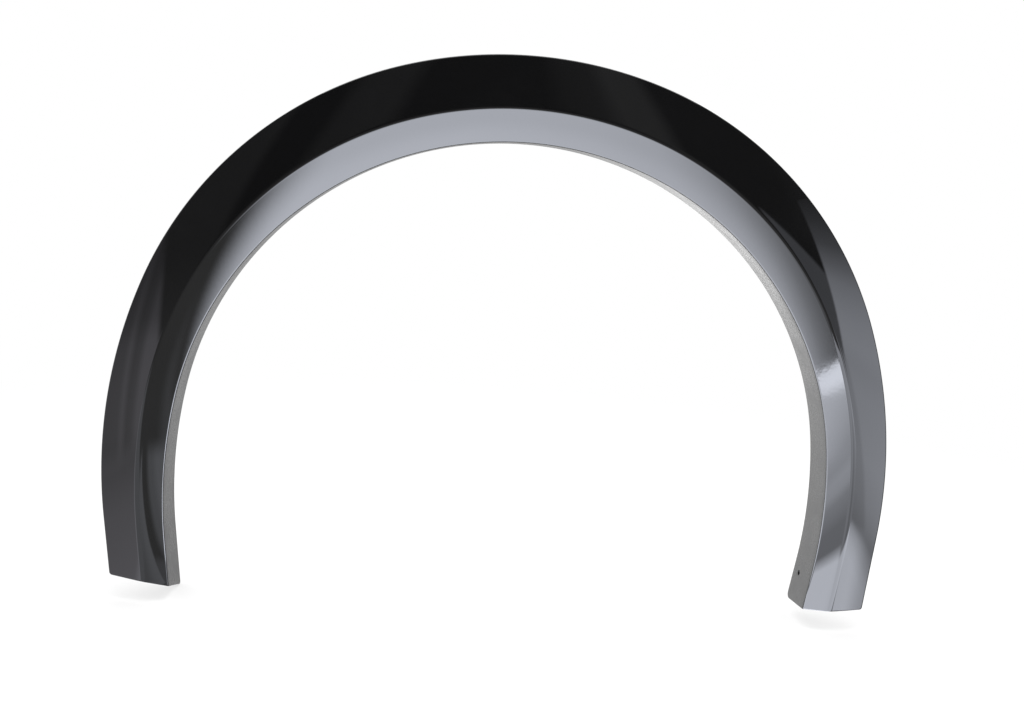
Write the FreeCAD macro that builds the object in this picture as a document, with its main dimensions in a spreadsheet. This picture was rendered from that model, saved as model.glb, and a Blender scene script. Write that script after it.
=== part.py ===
import FreeCAD, Part
import math
import os
import Sketcher

# Wheel arch trim, one moulded piece. Millimetres, +Z up, -Y towards the viewer.
# The origin is the wheel centre on the plane of the car's body side.

doc = FreeCAD.newDocument("fender_trim")
sheet = doc.addObject("Spreadsheet::Sheet", "Sizes")

# name, value, what it is
VALUES = [
    ("fold_radius", 380.0, "radius of the wheel opening at the fold"),
    ("leg_from_left", 78.7, "opening, angle from the top to where the left leg begins, degrees"),
    ("leg_from_right", 82.5, "opening, angle from the top to where the right leg begins, degrees"),
    ("leg_over", 180.0, "opening, radius down the legs, more than the fold's"),
    ("fold_lean_left", 6.0, "inward lean of the opening's left leg at its foot, degrees"),
    ("fold_lean_right", 7.7, "inward lean of the opening's right leg at its foot, degrees"),
    ("band_width", 94.0, "fold to outer edge at the top"),
    ("crown_over", 104.0, "outer edge, radius over the top, more than the fold's"),
    ("crown_span", 17.0, "outer edge, half angle of the top arc, degrees"),
    ("shoulder_over", 46.5, "outer edge, radius of the shoulders, more than the fold's"),
    ("shoulder_span", 51.5, "outer edge, angle of each shoulder, degrees"),
    ("side_over", 186.0, "outer edge, radius down the sides, more than the fold's"),
    ("side_span_left", 28.0, "outer edge, angle of the left side, degrees"),
    ("side_span_right", 26.0, "outer edge, angle of the right side, degrees"),
    ("rim_height", 6.0, "height of the outer rim above the body"),
    ("ridge_height", 19.5, "height of the ridge above the body at the top"),
    ("face_width", 57.0, "outer edge to ridge at the top"),
    ("face_crown", 480.0, "crown radius of the outer face"),
    ("fold_height", 7.0, "height of the fold above the body"),
    ("bevel_crown", 420.0, "crown radius of the bevel"),
    ("bevel_over", 32.0, "how far the bevel's cut runs on past the ridge"),
    ("overrun", 10.0, "how far a cut runs past the faces it opens"),
    ("lip_room", 22.0, "from the fold to where the rim is trimmed to the body"),
    ("lip_depth", 56.0, "depth of the lip from the fold to its back edge"),
    ("wall", 3.0, "wall of the moulding"),
    ("ridge_round", 12.0, "radius of the ridge"),
    ("fold_round", 2.5, "radius of the fold"),
    ("rim_round", 2.0, "radius of the outer edge"),
    ("end_drop_left", 148.0, "left end below the wheel centre at the fold"),
    ("end_drop_right", 142.0, "right end below the wheel centre at the fold"),
    ("end_slant_left", 9.5, "left end, rise towards the outer edge, degrees"),
    ("end_slant_right", 2.0, "right end, rise towards the outer edge, degrees"),
    ("end_tilt_left", 17.0, "left end, fall towards the back, degrees"),
    ("end_tilt_right", 6.0, "right end, fall towards the back, degrees"),
    ("lip_corner_left", 3.0, "radius of the lip's back corner at the left end"),
    ("lip_corner_right", 7.0, "radius of the lip's back corner at the right end"),
    ("corner_past", 0.05, "how far a corner's round runs out past the lip's back edge"),
    ("screw_hole_radius", 3.2, "screw hole in the right leg of the lip"),
    ("screw_hole_inset", 18.0, "screw hole from the back edge of the lip"),
    ("screw_hole_drop", 111.0, "screw hole below the wheel centre"),
]

size = {}
for row, (name, value, note) in enumerate(VALUES, start=1):
    sheet.set("A%d" % row, name)
    sheet.set("B%d" % row, "%g" % value)
    sheet.set("C%d" % row, note)
    sheet.setAlias("B%d" % row, name)
    size[name] = value
doc.recompute()

# how a sketch numbers its two axes, and the points of a curve
LEVEL, UPRIGHT = range(-1, -3, -1)
START, END, CENTRE = range(1, 4)
ORIGIN = (LEVEL, START)


def new_sketch(owner, name, role):
    sk = owner.newObject("Sketcher::SketchObject", name)
    origin_plane = [f for f in owner.Origin.OriginFeatures if f.Role == role][0]
    sk.AttachmentSupport = [(origin_plane, "")]
    sk.MapMode = "FlatFace"
    return sk


def vec(x, y):
    return FreeCAD.Vector(x, y, 0)


def arc(centre, radius, start, end):
    circle = Part.Circle(vec(*centre), FreeCAD.Vector(0, 0, 1), radius)
    return Part.ArcOfCircle(circle, math.radians(start), math.radians(end))


def rule(sk, kind, *args):
    return sk.addConstraint(Sketcher.Constraint(kind, *args))


def drive(sk, expression, kind, *args):
    """A driving size: the sketch takes its value from the sheet."""
    index = rule(sk, kind, *args)
    sk.setExpression("Constraints[%d]" % index, expression)


def half_guide(sk, side, top, arcs, reach, reach_text):
    """One half of a guide: tangent arcs down from the top, then a straight leg."""
    x = 0.0
    z = top
    turned = 0.0
    ids = []
    # an arc runs anticlockwise, so the right half enters each arc at its end
    near = END if side > 0 else START
    far = START if side > 0 else END
    for radius, span, radius_text, span_text in arcs:
        a = math.radians(turned)
        b = math.radians(turned + span)
        centre = (x - radius * math.sin(a), z - radius * math.cos(a))
        first = 90 - turned - span if side > 0 else 90 + turned
        geo = sk.addGeometry(arc((side * centre[0], centre[1]), radius, first, first + span))
        drive(sk, radius_text, "Radius", geo, radius)
        drive(sk, span_text, "Angle", geo, math.radians(span))
        if ids:
            rule(sk, "Tangent", ids[-1], far, geo, near)
        ids.append(geo)
        turned += span
        x = centre[0] + radius * math.sin(b)
        z = centre[1] + radius * math.cos(b)
    b = math.radians(turned)
    run = (z + reach) / math.sin(b)
    foot = vec(side * (x + run * math.cos(b)), -reach)
    leg = sk.addGeometry(Part.LineSegment(vec(side * x, z), foot))
    rule(sk, "Tangent", ids[-1], far, leg, START)
    drive(sk, reach_text, "DistanceY", leg, END, *ORIGIN, reach)
    rule(sk, "PointOnObject", ids[0], CENTRE, UPRIGHT)
    return ids + [leg], (ids[0], near)


def guide(owner, name, top, top_text, arcs_of, reach, reach_text, closed):
    """A curve in the plane of the body side, down both sides of the wheel."""
    sk = new_sketch(owner, name, "XZ_Plane")
    right, apex = half_guide(sk, 1, top, arcs_of("right"), reach, reach_text)
    left, apex_left = half_guide(sk, -1, top, arcs_of("left"), reach, reach_text)
    rule(sk, "Coincident", *apex, *apex_left)
    rule(sk, "PointOnObject", *apex, UPRIGHT)
    drive(sk, top_text, "DistanceY", *ORIGIN, *apex, top)
    if closed:
        sill = sk.addGeometry(Part.LineSegment(sk.getPoint(right[-1], END), sk.getPoint(left[-1], END)))
        rule(sk, "Coincident", right[-1], END, sill, START)
        rule(sk, "Coincident", left[-1], END, sill, END)
    return sk


def fold_arcs(radius, radius_text):
    """The opening: an arc round the wheel centre, then a flatter one down each leg to its lean."""
    leg = radius + size["leg_over"]
    leg_text = radius_text + " + Sizes.leg_over"

    def arcs_of(side):
        start = "leg_from_" + side
        lean = "fold_lean_" + side
        span = 90 + size[lean] - size[start]
        span_text = "90 deg + (Sizes.%s - Sizes.%s) * 1 deg" % (lean, start)
        first = (radius, size[start], radius_text, "Sizes.%s * 1 deg" % start)
        return [first, (leg, span, leg_text, span_text)]

    return arcs_of


def crown_centre(p, q, radius):
    """Centre of the crown through p and q, on the body's side of them."""
    dy = q[0] - p[0]
    dz = q[1] - p[1]
    chord = math.hypot(dy, dz)
    drop = math.sqrt(radius ** 2 - chord ** 2 / 4)
    away = abs(dz) / chord * drop
    return ((p[0] + q[0]) / 2 + away, (p[1] + q[1]) / 2 - dy / dz * away)


def crown_point(centre, radius, z):
    return (centre[0] - math.sqrt(radius ** 2 - (z - centre[1]) ** 2), z)


def turn(centre, point):
    return math.degrees(math.atan2(point[1] - centre[1], point[0] - centre[0])) % 360


def crown_arc(sk, p, q, crown_name, inset, high_z, low_z):
    """The crown through the marks p and q, or the same crown set back by the wall."""
    radius = size[crown_name]
    radius_text = "Sizes." + crown_name
    centre = crown_centre(p, q, radius)
    base = sk.addGeometry(arc(centre, radius, turn(centre, p), turn(centre, q)), True)
    drive(sk, radius_text, "Radius", base, radius)
    inner = radius - inset
    high = crown_point(centre, inner, high_z)
    low = crown_point(centre, inner, low_z)
    crown = sk.addGeometry(arc(centre, inner, turn(centre, high), turn(centre, low)))
    rule(sk, "Coincident", base, CENTRE, crown, CENTRE)
    less = " - Sizes.wall" if inset else ""
    drive(sk, radius_text + less, "Radius", crown, inner)
    return base, crown, high, low


def chain(sk, points):
    """Lines through the points, level and upright by turns."""
    ids = []
    for a, b in zip(points, points[1:]):
        ids.append(sk.addGeometry(Part.LineSegment(vec(*a), vec(*b))))
    for a, b in zip(ids, ids[1:]):
        rule(sk, "Coincident", a, END, b, START)
    for i, line in enumerate(ids):
        rule(sk, "Vertical" if i % 2 else "Horizontal", line)
    return ids


def round_rim(sk, crown, wall_line, top):
    """The round between the face and the rim, in the swept profile itself."""
    radius = size["rim_round"]
    face = sk.Geometry[crown]
    middle = (face.Center.x, face.Center.y)
    centre = crown_point(middle, face.Radius - radius, top - radius)
    rim = sk.addGeometry(arc(centre, radius, 90, turn(middle, centre)))
    rule(sk, "Tangent", wall_line, END, rim, START)
    rule(sk, "Tangent", rim, END, crown, START)
    drive(sk, "Sizes.rim_round", "Radius", rim, radius)


def round_fold(sk, crown, lip_line, bottom):
    """The round between the bevel and the lip, in the swept profile itself."""
    radius = size["fold_round"]
    bevel = sk.Geometry[crown]
    middle = (bevel.Center.x, bevel.Center.y)
    centre = crown_point(middle, bevel.Radius - radius, bottom + radius)
    edge = sk.addGeometry(arc(centre, radius, turn(middle, centre), 270))
    rule(sk, "Tangent", crown, END, edge, START)
    rule(sk, "Tangent", edge, END, lip_line, START)
    drive(sk, "Sizes.fold_round", "Radius", edge, radius)


outer_top = size["fold_radius"] + size["band_width"]
OUTER_TOP = "Sizes.fold_radius + Sizes.band_width"
rim = (-size["rim_height"], outer_top)
ridge = (-size["ridge_height"], outer_top - size["face_width"])
fold = (-size["fold_height"], size["fold_radius"])


def leg_reach(past):
    """How far the legs are swept below the wheel centre before their ends are cut."""
    lowest = max(size["end_drop_left"], size["end_drop_right"])
    reach = lowest + size["lip_depth"] + past * size["overrun"]
    lowest_text = "max(Sizes.end_drop_left; Sizes.end_drop_right)"
    return reach, "%s + Sizes.lip_depth + %d * Sizes.overrun" % (lowest_text, past)


def make_band(owner, inset, past):
    """Outer face and rim as a solid band swept along the outer edge."""
    less = " - Sizes.wall" if inset else ""
    reach, reach_text = leg_reach(past)

    def arcs_of(side):
        spans = ("crown_span", "shoulder_span", "side_span_" + side)
        arcs = []
        for over, span in zip(("crown_over", "shoulder_over", "side_over"), spans):
            radius = size["fold_radius"] + size[over] - inset
            radius_text = "Sizes.fold_radius + Sizes.%s%s" % (over, less)
            arcs.append((radius, size[span], radius_text, "Sizes.%s * 1 deg" % span))
        return arcs

    top_text = OUTER_TOP + less
    name = owner.Name + "_edge"
    edge = guide(owner, name, outer_top - inset, top_text, arcs_of, reach, reach_text, False)
    sk = new_sketch(owner, owner.Name + "_face", "YZ_Plane")
    low_z = size["fold_radius"] - 2 * size["overrun"]
    high_z = outer_top - inset
    crowns = crown_arc(sk, rim, ridge, "face_crown", inset, high_z, low_z)
    base, crown, high, low = crowns
    rear = size["lip_depth"] - size["fold_height"] + past * size["overrun"]
    low_line, back, wall_line = chain(sk, [low, (rear, low_z), (rear, high_z), high])
    rule(sk, "Coincident", crown, END, low_line, START)
    if inset:
        rule(sk, "Coincident", wall_line, END, crown, START)
    else:
        round_rim(sk, crown, wall_line, high_z)
    drive(sk, OUTER_TOP, "DistanceY", *ORIGIN, base, START, rim[1])
    drive(sk, "Sizes.rim_height", "DistanceX", base, START, *ORIGIN, -rim[0])
    drive(sk, "Sizes.ridge_height", "DistanceX", base, END, *ORIGIN, -ridge[0])
    drive(sk, "Sizes.face_width", "DistanceY", base, END, base, START, size["face_width"])
    drive(sk, top_text, "DistanceY", *ORIGIN, wall_line, START, high_z)
    drive(sk, "Sizes.fold_radius - 2 * Sizes.overrun", "DistanceY", *ORIGIN, low_line, START, low_z)
    rear_text = "Sizes.lip_depth - Sizes.fold_height + %d * Sizes.overrun" % past
    drive(sk, rear_text, "DistanceX", *ORIGIN, back, START, rear)
    doc.recompute()
    sweep = owner.newObject("PartDesign::AdditivePipe", owner.Name + "_band")
    sweep.Profile = sk
    sweep.Spine = edge
    doc.recompute()
    return sweep


def make_opening(owner, inset, past):
    """The wheel opening with its lip, fold and bevel, cut in one sweep along the fold."""
    more = " + Sizes.wall" if inset else ""
    radius = size["fold_radius"]
    text = "Sizes.fold_radius"
    reach, reach_text = leg_reach(past)
    name = owner.Name + "_fold_line"
    line = guide(owner, name, radius, text, fold_arcs(radius, text), reach, reach_text, False)
    sk = new_sketch(owner, owner.Name + "_bevel", "YZ_Plane")
    high_z = ridge[1] + size["bevel_over"]
    lip_z = radius + inset
    deep_z = radius - size["band_width"]
    front = size["ridge_height"] + 3 * size["overrun"]
    rear = size["lip_depth"] - size["fold_height"] + past * size["overrun"]
    crowns = crown_arc(sk, ridge, fold, "bevel_crown", inset, high_z, lip_z)
    base, crown, high, low = crowns
    corners = [(rear, lip_z), (rear, deep_z), (-front, deep_z), (-front, high_z)]
    lip_line, rear_line, deep_line, front_line, high_line = chain(sk, [low] + corners + [high])
    rule(sk, "Coincident", high_line, END, crown, START)
    if inset:
        rule(sk, "Coincident", crown, END, lip_line, START)
    else:
        round_fold(sk, crown, lip_line, lip_z)
    drive(sk, OUTER_TOP + " - Sizes.face_width", "DistanceY", *ORIGIN, base, START, ridge[1])
    drive(sk, "Sizes.ridge_height", "DistanceX", base, START, *ORIGIN, -ridge[0])
    drive(sk, text, "DistanceY", *ORIGIN, base, END, fold[1])
    drive(sk, "Sizes.fold_height", "DistanceX", base, END, *ORIGIN, -fold[0])
    drive(sk, "Sizes.bevel_over", "DistanceY", base, START, crown, START, size["bevel_over"])
    drive(sk, text + more, "DistanceY", *ORIGIN, lip_line, END, lip_z)
    drive(sk, text + " - Sizes.band_width", "DistanceY", *ORIGIN, deep_line, START, deep_z)
    drive(sk, "Sizes.ridge_height + 3 * Sizes.overrun", "DistanceX", front_line, START, *ORIGIN, front)
    rear_text = "Sizes.lip_depth - Sizes.fold_height + %d * Sizes.overrun" % past
    drive(sk, rear_text, "DistanceX", *ORIGIN, rear_line, START, rear)
    doc.recompute()
    cut = owner.newObject("PartDesign::SubtractivePipe", owner.Name + "_opening")
    cut.Profile = sk
    cut.Spine = line
    doc.recompute()
    return cut


def make_block(name, inset, past):
    """The outer form as a solid; with the wall as inset, the space inside it."""
    owner = doc.addObject("PartDesign::Body", name)
    make_band(owner, inset, past)
    make_opening(owner, inset, past + 1)
    return owner


def cut_end(owner, name, side):
    """Trim a leg by a plane that rises to the outer edge and falls to the back."""
    drop = "end_drop_" + name
    slant = "end_slant_" + name
    tilt = "end_tilt_" + name
    sk = new_sketch(owner, name + "_end", "YZ_Plane")
    turned = FreeCAD.Rotation(FreeCAD.Vector(1, 0, 0), -side * size[slant])
    place = FreeCAD.Vector(0, -size[drop], side * size["fold_radius"])
    sk.AttachmentOffset = FreeCAD.Placement(place, turned)
    sk.setExpression("AttachmentOffset.Base.y", "-Sizes." + drop)
    sk.setExpression("AttachmentOffset.Base.z", "%d * Sizes.fold_radius" % side)
    sk.setExpression("AttachmentOffset.Rotation.Angle", "%d * Sizes.%s * 1 deg" % (-side, slant))
    front = size["ridge_height"] + 3 * size["overrun"]
    back = size["lip_depth"] + size["overrun"]
    reach, reach_text = leg_reach(3)
    depth = reach - size[drop] + size["lip_depth"]
    lean = math.radians(size[tilt])
    radius = size["lip_corner_" + name]
    edge = size["lip_depth"] - size["fold_height"] + size["corner_past"]
    run = edge - radius + size["fold_height"]
    centre = (edge - radius, (radius - run * math.sin(lean)) / math.cos(lean))
    meet = (centre[0] - radius * math.sin(lean), centre[1] - radius * math.cos(lean))
    start = (-front, (front - size["fold_height"]) * math.tan(lean))
    slope = sk.addGeometry(Part.LineSegment(vec(*start), vec(*meet)))
    corner = sk.addGeometry(arc(centre, radius, 270 - size[tilt], 360))
    rule(sk, "Tangent", slope, END, corner, START)
    points = [(edge, centre[1]), (back, centre[1]), (back, -depth), (-front, -depth), start]
    ids = []
    for a, b in zip(points, points[1:]):
        ids.append(sk.addGeometry(Part.LineSegment(vec(*a), vec(*b))))
    rule(sk, "Coincident", corner, END, ids[0], START)
    for a, b in zip(ids, ids[1:]):
        rule(sk, "Coincident", a, END, b, START)
    rule(sk, "Coincident", ids[3], END, slope, START)
    rule(sk, "Horizontal", ids[0])
    rule(sk, "Vertical", ids[1])
    rule(sk, "Horizontal", ids[2])
    rule(sk, "Vertical", ids[3])
    rule(sk, "Horizontal", corner, CENTRE, corner, END)
    mark = sk.addGeometry(Part.Point(vec(-size["fold_height"], 0)), True)
    rule(sk, "PointOnObject", mark, START, slope)
    rule(sk, "PointOnObject", mark, START, LEVEL)
    drive(sk, "Sizes.fold_height", "DistanceX", mark, START, *ORIGIN, size["fold_height"])
    drive(sk, "-Sizes.%s * 1 deg" % tilt, "Angle", slope, -lean)
    drive(sk, "Sizes.lip_corner_" + name, "Radius", corner, radius)
    edge_text = "Sizes.lip_depth - Sizes.fold_height + Sizes.corner_past"
    drive(sk, edge_text, "DistanceX", *ORIGIN, corner, END, edge)
    drive(sk, "Sizes.ridge_height + 3 * Sizes.overrun", "DistanceX", slope, START, *ORIGIN, front)
    drive(sk, "Sizes.lip_depth + Sizes.overrun", "DistanceX", *ORIGIN, ids[1], START, back)
    depth_text = "%s - Sizes.%s + Sizes.lip_depth" % (reach_text, drop)
    drive(sk, depth_text, "DistanceY", ids[2], START, *ORIGIN, depth)
    doc.recompute()
    cut = owner.newObject("PartDesign::Pocket", name + "_end_cut")
    cut.Profile = sk
    cut.Type = "Length"
    cut.Length = 2 * (size["band_width"] + 2 * size["overrun"])
    cut.setExpression("Length", "2 * (Sizes.band_width + 2 * Sizes.overrun)")
    cut.Midplane = True
    doc.recompute()
    return cut


def side_of(face, point):
    """Which side of the moulding a face is, seen at a point of it."""
    n = face.normalAt(*face.Surface.parameter(point))
    outward = FreeCAD.Vector(point.x, 0, point.z)
    outward.normalize()
    away = n.dot(outward)
    if n.y > -0.5:
        return "other"
    return "face" if away > 0 else "bevel"


def edges_between(shape, one, two):
    """Names of the edges where the two named sides of the moulding meet."""
    names = []
    for i, edge in enumerate(shape.Edges, start=1):
        middle = edge.valueAt((edge.FirstParameter + edge.LastParameter) / 2)
        faces = shape.ancestorsOfType(edge, Part.Face)
        sides = sorted(side_of(f, middle) for f in faces)
        if sides == sorted((one, two)):
            names.append("Edge%d" % i)
    return names


def round_edges(owner, name, one, two, radius):
    base = owner.Tip
    fillet = owner.newObject("PartDesign::Fillet", name)
    fillet.Base = (base, edges_between(base.Shape, one, two))
    fillet.Radius = size[radius]
    fillet.setExpression("Radius", "Sizes." + radius)
    doc.recompute()
    return fillet


trim = make_block("trim", 0.0, 0)
trim.Label = "fender_trim"
inside = make_block("inside", size["wall"], 1)
round_edges(trim, "ridge", "face", "bevel", "ridge_round")
cut_end(trim, "left", -1)
cut_end(trim, "right", 1)

hollow = trim.newObject("PartDesign::Boolean", "hollow")
hollow.setObjects([inside])
hollow.Type = "Cut"
doc.recompute()

# the rim stops at the body side; only the lip runs on behind it
room = size["fold_radius"] + size["lip_room"]
room_text = "Sizes.fold_radius + Sizes.lip_room"
reach, reach_text = leg_reach(2)
seat = guide(trim, "rim_seat", room, room_text, fold_arcs(room, room_text), reach, reach_text, True)
reach = 2 * reach
span = 2 * outer_top
corners = [(-span, -reach), (span, -reach), (span, span), (-span, span)]
frame = []
for a, b in zip(corners, corners[1:] + corners[:1]):
    frame.append(seat.addGeometry(Part.LineSegment(vec(*a), vec(*b))))
for a, b in zip(frame, frame[1:] + frame[:1]):
    rule(seat, "Coincident", a, END, b, START)
rule(seat, "Horizontal", frame[0])
rule(seat, "Vertical", frame[1])
rule(seat, "Horizontal", frame[2])
rule(seat, "Vertical", frame[3])
drive(seat, "2 * (%s)" % OUTER_TOP, "DistanceX", *ORIGIN, frame[1], START, span)
drive(seat, "2 * (%s)" % OUTER_TOP, "DistanceX", frame[3], START, *ORIGIN, span)
drive(seat, "2 * (%s)" % OUTER_TOP, "DistanceY", *ORIGIN, frame[2], START, span)
drive(seat, "2 * (%s)" % reach_text, "DistanceY", frame[0], START, *ORIGIN, reach)
doc.recompute()
rim_cut = trim.newObject("PartDesign::Pocket", "rim_to_body")
rim_cut.Profile = seat
rim_cut.Type = "Length"
rim_cut.Length = 2 * size["lip_depth"]
rim_cut.setExpression("Length", "2 * Sizes.lip_depth")
doc.recompute()

# screw hole near the foot of the right leg, square to the lip
sk = new_sketch(trim, "screw_hole_line", "YZ_Plane")
turned = FreeCAD.Rotation(FreeCAD.Vector(1, 0, 0), size["fold_lean_right"])
place = FreeCAD.Vector(0, -size["screw_hole_drop"], size["fold_radius"])
sk.AttachmentOffset = FreeCAD.Placement(place, turned)
sk.setExpression("AttachmentOffset.Base.y", "-Sizes.screw_hole_drop")
sk.setExpression("AttachmentOffset.Base.z", "Sizes.fold_radius")
sk.setExpression("AttachmentOffset.Rotation.Angle", "Sizes.fold_lean_right * 1 deg")
behind = size["lip_depth"] - size["fold_height"] - size["screw_hole_inset"]
ring = sk.addGeometry(Part.Circle(vec(behind, 0), FreeCAD.Vector(0, 0, 1), size["screw_hole_radius"]))
drive(sk, "Sizes.screw_hole_radius", "Radius", ring, size["screw_hole_radius"])
behind_text = "Sizes.lip_depth - Sizes.fold_height - Sizes.screw_hole_inset"
drive(sk, behind_text, "DistanceX", *ORIGIN, ring, CENTRE, behind)
rule(sk, "PointOnObject", ring, CENTRE, LEVEL)
doc.recompute()
screw = trim.newObject("PartDesign::Pocket", "screw_hole")
screw.Profile = sk
screw.Type = "Length"
screw.Length = 4 * size["overrun"]
screw.setExpression("Length", "4 * Sizes.overrun")
screw.Midplane = True
doc.recompute()

for thing in doc.Objects:
    if "Invalid" in thing.State or "Error" in thing.State:
        raise RuntimeError("%s did not build: %s" % (thing.Name, thing.State))
shape = trim.Shape
if shape.isNull() or not shape.isValid() or len(shape.Solids) != 1:
    raise RuntimeError("the trim is not one sound solid")
os.makedirs("parts", exist_ok=True)
shape.exportStep("parts/fender_trim.step")
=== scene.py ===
import math

import bmesh
import bpy
import numpy as np
from bpy.props import FloatProperty, FloatVectorProperty, IntProperty, PointerProperty
from mathutils import Matrix, Vector


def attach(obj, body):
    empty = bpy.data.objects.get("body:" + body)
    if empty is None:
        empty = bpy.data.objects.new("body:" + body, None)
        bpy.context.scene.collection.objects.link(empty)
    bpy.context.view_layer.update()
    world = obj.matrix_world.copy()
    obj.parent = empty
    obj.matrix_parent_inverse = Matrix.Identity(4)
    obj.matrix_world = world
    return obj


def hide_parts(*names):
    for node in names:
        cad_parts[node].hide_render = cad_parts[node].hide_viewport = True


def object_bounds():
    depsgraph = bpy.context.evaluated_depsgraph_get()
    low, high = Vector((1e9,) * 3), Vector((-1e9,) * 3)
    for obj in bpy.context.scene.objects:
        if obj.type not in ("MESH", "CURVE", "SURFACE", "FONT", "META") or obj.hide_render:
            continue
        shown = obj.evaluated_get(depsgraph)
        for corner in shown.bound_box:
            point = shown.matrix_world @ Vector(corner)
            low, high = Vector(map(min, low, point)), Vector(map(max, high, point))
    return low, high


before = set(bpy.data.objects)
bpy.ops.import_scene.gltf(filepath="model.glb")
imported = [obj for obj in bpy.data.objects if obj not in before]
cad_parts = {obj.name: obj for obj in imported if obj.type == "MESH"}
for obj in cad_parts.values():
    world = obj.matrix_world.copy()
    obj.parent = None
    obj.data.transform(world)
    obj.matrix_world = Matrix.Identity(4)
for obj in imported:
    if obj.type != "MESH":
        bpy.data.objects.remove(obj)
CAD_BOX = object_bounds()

bl_info = {
    "name": "Fender Trim",
    "version": (1, 0, 0),
    "blender": (4, 5, 0),
    "location": "View3D > Sidebar > Fender Trim",
    "description": "Models a gloss black wheel arch trim and the stage that it is shown on",
    "category": "Mesh",
}

LEFT, RIGHT = -1, 1
GLOSS, GRAIN = 0, 1
WHITE = (1.0, 1.0, 1.0)

# Sections in each span along the arch, and the first parts of the way in from each end
STEPS = 20
END_PARTS = (0.0012, 0.004)
# Rows of points across the lip, of which the first ones follow its back corner
LIP_ROWS = 13
LIP_CORNER_ROWS = 9
# How much closer together rows stand at the ends of a zone
CROWDING = 0.12
# In metres: where the outer edge is looked for from the fold, and a leg's end past its drop
BAND_RANGE = (0.02, 0.16)
END_REACH = 0.09
# In metres: the step that slopes are taken over, and how far the lip's corner reaches past its back edge
SLOPE_STEP = 1e-5
PAST_LIP = 5e-5
HALVINGS = 40
# Edges of the first tube whose ends differ less than this in height run round it
FLAT_EDGE = 1e-6
# How much of the fold's round is grained like the lip
GRAINED_FOLD = 0.2
# Edges that get a small round, and those that stay sharp in the shading
ROUNDED_ANGLE = math.radians(50)
ROUND_SEGMENTS = 3
SHARP_ANGLE = math.radians(40)
# The drill for the screw hole: its sides, and its length in walls
DRILL_SIDES = 48
DRILL_WALLS = 8
PLASTIC_IOR = 1.52
FLOOR_SIZE = 8.0
FILM_WIDTH = 36.0

# Brightness of the room's dim side by bearing, as a tangent from straight ahead
ROOM_BARS = [
    (-1.2, 1.2), (-0.56, 1.2), (-0.51, 0.5), (-0.38, 0.5), (-0.33, 1.1), (-0.2, 1.2), (-0.15, 0.55),
    (0.12, 0.6), (0.17, 1.0), (0.24, 1.2), (0.29, 2.1), (0.37, 2.0), (0.42, 0.7), (0.8, 0.7), (0.95, 1.0),
    (1.2, 1.0),
]
# How the field in front of the crown fades to the right, by place in metres
FIELD_FADE = [
    (0.07, 1.0), (0.10, 0.95), (0.12, 0.88), (0.14, 0.70), (0.16, 0.48), (0.18, 0.32), (0.20, 0.23),
    (0.22, 0.16), (0.26, 0.08),
]
# Brightness of the band by the distance beyond its edge, and of both walls by height, in metres
BAND_LEVELS = [
    (0.0, 8.3), (0.013, 8.0), (0.027, 7.0), (0.045, 6.0), (0.06, 5.2), (0.08, 4.7), (0.105, 5.2), (0.13, 4.8),
    (0.155, 3.4), (0.19, 2.8), (0.22, 2.2), (0.282, 2.1), (0.328, 9.3), (0.48, 9.3),
]
RIGHT_LEVELS = [
    (-0.95, 7.2), (-0.53, 7.3), (-0.5, 6.6), (-0.465, 4.9), (-0.43, 2.3), (-0.4, 2.5), (-0.33, 3.1),
    (-0.2, 3.7), (0.0, 3.65), (0.1, 3.4), (0.18, 3.6), (0.27, 3.35), (0.34, 3.0), (0.42, 2.5), (0.5, 1.6),
    (0.6, 0.75), (0.72, 0.35), (0.9, 0.0), (1.05, 0.0),
]
LEFT_LEVELS = [
    (-1.0, 1.3), (-0.8, 1.3), (-0.55, 0.9), (-0.42, 0.62), (-0.28, 0.95), (-0.1, 1.05), (0.05, 1.0),
    (0.15, 0.6), (0.45, 0.35), (0.9, 0.25),
]
# How the left wall is streaked from front to back, by place in metres
LEFT_STREAKS = [
    (-2.0, 1.0), (-1.28, 1.0), (-1.2, 0.55), (-1.13, 0.45), (-1.06, 0.85), (-1.0, 0.55), (-0.9, 0.5),
    (0.0, 0.5),
]
# Brightness of the other parts of the cards, where 1 is the white of the background
FIELD_LEVEL = 8.4
EDGE_LEVEL = 6.0
RIDGE_LEVEL = 2.6
FOOT_LEVEL = 8.0
TOE_LEVELS = {LEFT: 0.5, RIGHT: 9.3}
PANEL_LEVEL = 0.7
BACK_LEVEL = 1.6


def length(name, description, default):
    """A size in metres."""
    return FloatProperty(name=name, description=description, default=default, precision=5, unit="LENGTH")


def angle(name, description, default):
    """An angle, given in degrees and kept in radians."""
    return FloatProperty(name=name, description=description, default=math.radians(default), subtype="ANGLE")


def share(name, description, default):
    """A number from 0 to 1."""
    return FloatProperty(name=name, description=description, default=default, min=0.0, max=1.0, precision=4)


def amount(name, description, default):
    """A number of 0 or more."""
    return FloatProperty(name=name, description=description, default=default, min=0.0, precision=4)


def colour(name, description, default):
    """A linear colour."""
    return FloatVectorProperty(name=name, description=description, default=default, size=3, subtype="COLOR")


def place(name, description, default):
    """A point in the frame."""
    kind = "TRANSLATION"
    return FloatVectorProperty(name=name, description=description, default=default, size=3, subtype=kind)


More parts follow.
